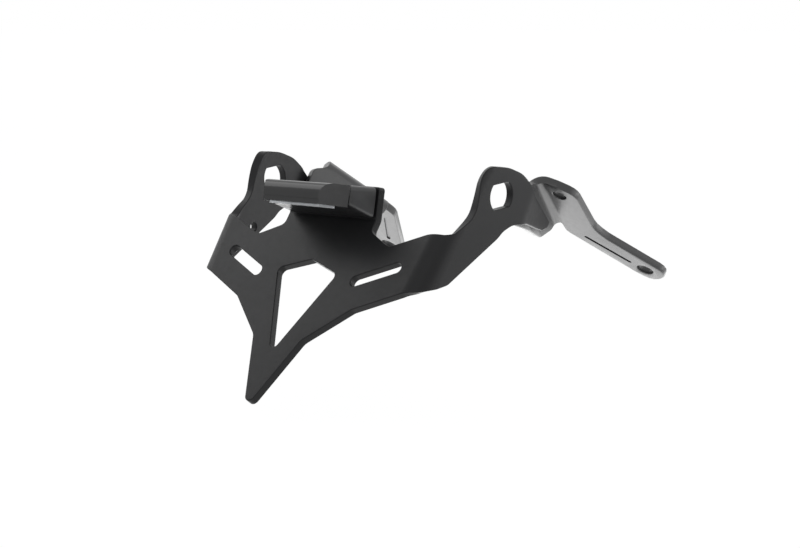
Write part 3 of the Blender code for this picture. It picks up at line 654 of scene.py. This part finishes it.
def grown(name, spots, aims, tree, sizes, finish):
    # runs a tree on a few aimed spots, in mm, and keeps the result as a plain mesh
    me = bpy.data.meshes.new(name)
    me.from_pydata([tuple(p * MM) for p in spots], [], [])
    aim = me.attributes.new("aim", "FLOAT_VECTOR", "POINT")
    for row, v in zip(aim.data, aims):
        row.vector = v
    o = added(name, me)
    run_on(o, tree, {**{k: v * MM for k, v in sizes.items()}, "Finish": finish})
    made = plain_mesh(o)
    o.modifiers.clear()
    o.data = mended(made, turn_out=True)
    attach(o, "root")
    return o


def over_seat(spots, aims, thickness):
    return [p + a * (seat_gap + thickness / 2) for p, a in zip(spots, aims)]


zinc_plate = surface("zinc_plate", (260, 4, (0.50, 0.52, 0.55), (0.66, 0.67, 0.68)),
                     (900, 3, 0.22, 0.42), ((1800, 2, 0.004),), (("Metallic", 1.0),))
pan_head, flat_washer = screw_tree(), washer_tree()
tags, spots, aims = zip(*foot_marks)
screws = grown("foot_screws", spots, aims, pan_head, foot_screw, zinc_plate)
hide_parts(*["foot_screw_" + t for t in tags])
washers = grown("foot_washers", over_seat(spots, aims, foot_washer["Thickness"]), aims,
                flat_washer, foot_washer, zinc_plate)
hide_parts(*["foot_washer_" + t for t in tags])

# Lamp gasket and cable grommet. A thin rubber pad seals the lamp to the tab and a flanged
# rubber ring lines the hole where the lamp's lead comes in.
rubber = surface("matt_rubber", (300, 3, (0.014, 0.014, 0.014), (0.024, 0.024, 0.024)),
                 (700, 2, 0.72, 0.9), ((2200, 3, 0.012),))
dressed("lamp_pad", rubber, 50)
dressed("inlet_grommet", rubber)


# Lamp base. A moulded block with a fine spark texture on its sides; its two bosses take
# the fixing screws and its ledges carry the circuit board.
def moulded(name, dark, light, smooth, dull, grain, gleam=0.5):
    return surface(name, (90, 3, dark, light), (240, 3, smooth, dull), ((1900, 3, grain),),
                   (("Specular IOR Level", gleam),))


base_black = moulded("fine_grain_plastic", (0.012, 0.012, 0.0125), (0.018, 0.018, 0.019),
                     0.30, 0.42, 0.012)
dressed("lamp_base", base_black)

# Lamp hood. The moulded gloss cover over the lights: a crowned bar with its two ends cut
# back at a slant, a raised lip along its lower edge and a slot below for the clear strip.
# Its left end is drawn in and rounded like a nose, the right one runs flush to the base.
hood_half, hood_face_half, hood_back, hood_front = 26.8, 16.5, 19.2, 28.8
hood_low, hood_high, hood_wall, hood_face_from = 3.0, 13.1, 1.8, 0.6
crown_flat, crown_drop = 0.55, 0.58
lip_height, lip_reach, lip_slope, hood_edge = 2.2, 0.35, 0.25, 0.28
nose_half, nose_face_half, nose_from, nose_run, nose_drop = 25.6, 18.0, -16.0, 11.0, 0.45
nose_slices, nose_slice, nose_bevels = 19, 0.4, 4
strip_back_half, strip_back, strip_front_half, strip_front = 21.8, 1.4, 15.3, 26.8
strip_room, strip_room_deep, strip_room_high, strip_corner = 0.66, 0.3, 5.8, 0.9
lamp_place = Matrix(((1, 0, 0, 0), (0, 0.1736483, -0.9848077, -0.0819148),
                     (0, 0.9848077, 0.1736483, -0.0107235), (0, 0, 0, 1)))


def crowned(inset, lip_high, lip_deep):
    # side profile as (depth, height), from the lower rear corner round the front
    low, high = hood_low + inset, hood_high - inset
    deep, tall = hood_front - inset - hood_back, high - low
    side = [(hood_back - (0 if lip_deep else 0.5), low), (hood_front - inset - lip_deep, low)]
    if lip_deep:
        side += [(hood_front - lip_deep, low + lip_high),
                 (hood_front, low + lip_high + lip_slope)]
    for deg in range(0, 91, 5):
        t = math.radians(deg)
        side.append((hood_back + deep * (crown_flat + (1 - crown_flat) * math.cos(t)),
                     high - tall * crown_drop * (1 - math.sin(t))))
    return side + [(side[0][0], high)]


def strung(bm, rings):
    # closes a bar through rings of equally many points
    for a, b in zip(rings, rings[1:]):
        for i in range(len(a)):
            j = (i + 1) % len(a)
            bm.faces.new((a[i], a[j], b[j], b[i]))
    bm.faces.new(rings[0][::-1])
    bm.faces.new(rings[-1])


def slanted_bar(name, inset, lip_high, lip_deep, edge):
    bm = bmesh.new()
    side = crowned(inset, lip_high, lip_deep)
    low = side[0][1]
    slices = [0.3 - hood_half + nose_slice * i for i in range(nose_slices)]
    rings = []
    for x in [-hood_half - 1] + slices + [hood_half + 1]:
        u = min(1.0, max(0.0, (nose_from - x) / nose_run))
        keep = 1 - nose_drop * (1 - math.sqrt(1 - u * u))
        rings.append([bm.verts.new((x * MM, (low + (h - low) * keep) * MM, d * MM))
                      for d, h in side])
    strung(bm, rings)
    for s, half, face_half in ((1, hood_half, hood_face_half), (-1, nose_half, nose_face_half)):
        slope = Vector((hood_front - hood_back - hood_face_from, 0, half - face_half)).normalized()
        face = Vector((s * (half - inset * 1.4), 0, hood_back + hood_face_from))
        for at, aim in ((face, Vector((s * slope.x, 0, slope.z))),
                        (Vector((s * (half - inset), 0, 0)), Vector((s, 0, 0)))):
            geom = list(bm.verts) + list(bm.edges) + list(bm.faces)
            cut = bmesh.ops.bisect_plane(bm, geom=geom, dist=1e-7, plane_co=at * MM,
                                         plane_no=aim, clear_outer=True)
            rim = [e for e in cut["geom_cut"] if isinstance(e, bmesh.types.BMEdge)]
            bmesh.ops.holes_fill(bm, edges=rim)
    bmesh.ops.recalc_face_normals(bm, faces=bm.faces)
    if edge:
        sharp = [e for e in bm.edges
                 if len(e.link_faces) == 2 and e.calc_face_angle() > math.radians(20)
                 and min(v.co.z for v in e.verts) > (hood_back + 0.01) * MM]
        nose = [e for e in sharp if max(v.co.x for v in e.verts) < -nose_face_half * 0.9 * MM
                and abs(e.verts[0].co.y - e.verts[1].co.y) > 0.02 * MM]
        rest = [e for e in sharp if e not in nose]
        bmesh.ops.bevel(bm, geom=nose, offset=edge * nose_bevels * MM, segments=4, profile=0.5,
                        affect="EDGES", clamp_overlap=True)
        bmesh.ops.bevel(bm, geom=[e for e in rest if e.is_valid], offset=edge * MM, segments=3,
                        profile=0.5, affect="EDGES", clamp_overlap=True)
    return added(name, meshed(name, bm))


hood = slanted_bar("hood_cover", 0.0, lip_height, lip_reach, hood_edge)
hollow = slanted_bar("hood_hollow", hood_wall, 0.0, 0.0, 0)
back_x, back_z = strip_back_half + strip_room, hood_back + strip_back - strip_room_deep
front_x, front_z = strip_front_half + strip_room, strip_front + strip_room_deep
plan = rounded([(x, z, strip_corner) for x, z in ((back_x, back_z), (front_x, front_z),
                                                  (-front_x, front_z), (-back_x, back_z))], 4)
bm = bmesh.new()
strung(bm, [[bm.verts.new((p.x * MM, y * MM, p.y * MM)) for p in plan]
            for y in (0, strip_room_high)])
bmesh.ops.recalc_face_normals(bm, faces=bm.faces)
slot_room = added("lens_slot", meshed("lens_slot", bm))
made = carved(hood, [hollow, slot_room], 0.008)
made.transform(lamp_place)
hood_black = moulded("gloss_plastic", (0.006, 0.006, 0.0065), (0.009, 0.009, 0.0095),
                     0.10, 0.16, 0.0012, 0.42)
made.materials.clear()
made.materials.append(hood_black)
softened(hood, 28)
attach(hood, "root")
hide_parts("lamp_hood")

# Clear strip. A slightly milky polycarbonate window, pushed into the slot under the hood,
# that lets the light down on to the number plate.
strip_clear = surface("clear_polycarbonate", (120, 2, (0.90, 0.93, 0.95), (0.97, 0.98, 0.98)),
                      (500, 2, 0.04, 0.12), ((900, 1, 0.004),),
                      (("Transmission Weight", 0.55), ("IOR", 1.58)))
dressed("lamp_lens", strip_clear)

# Circuit board and lights. A green masked board on the base's ledges with three small
# surface-mounted lights, their yellow phosphor facing down through the strip.
board_green = surface("board_mask", (400, 2, (0.010, 0.09, 0.035), (0.02, 0.15, 0.06)),
                      (700, 2, 0.25, 0.4), ())
dressed("lamp_board", board_green)
phosphor = surface("phosphor", (800, 2, (0.85, 0.62, 0.10), (0.95, 0.80, 0.25)),
                   (900, 2, 0.35, 0.5), ())
for letter in "abc":
    dressed("lamp_led_" + letter, phosphor)

# Lamp screws. From the front of the tab through the pad into the base's bosses, each over
# a thin washer, zinc plated like the bracket screws.
lamp_screw = {"Shank diameter": 4.0, "Shank length": 11.1, "Head diameter": 7.0,
              "Head height": 2.3, "Socket width": 3.0, "Pitch": 0.7}
lamp_washer = {"Bore": 4.6, "Outer diameter": 9.0, "Thickness": 0.8}
spots = [Vector((x, -75.5668, -3.5163)) for x in (-lamp_screw_x, lamp_screw_x)]
aims = [Vector((0, -0.984808, 0.173648))] * 2
screws = grown("lamp_screws", spots, aims, pan_head, lamp_screw, zinc_plate)
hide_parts("lamp_screw_left", "lamp_screw_right")
washers = grown("lamp_washers", over_seat(spots, aims, lamp_washer["Thickness"]), aims,
                flat_washer, lamp_washer, zinc_plate)
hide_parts("lamp_washer_left", "lamp_washer_right")
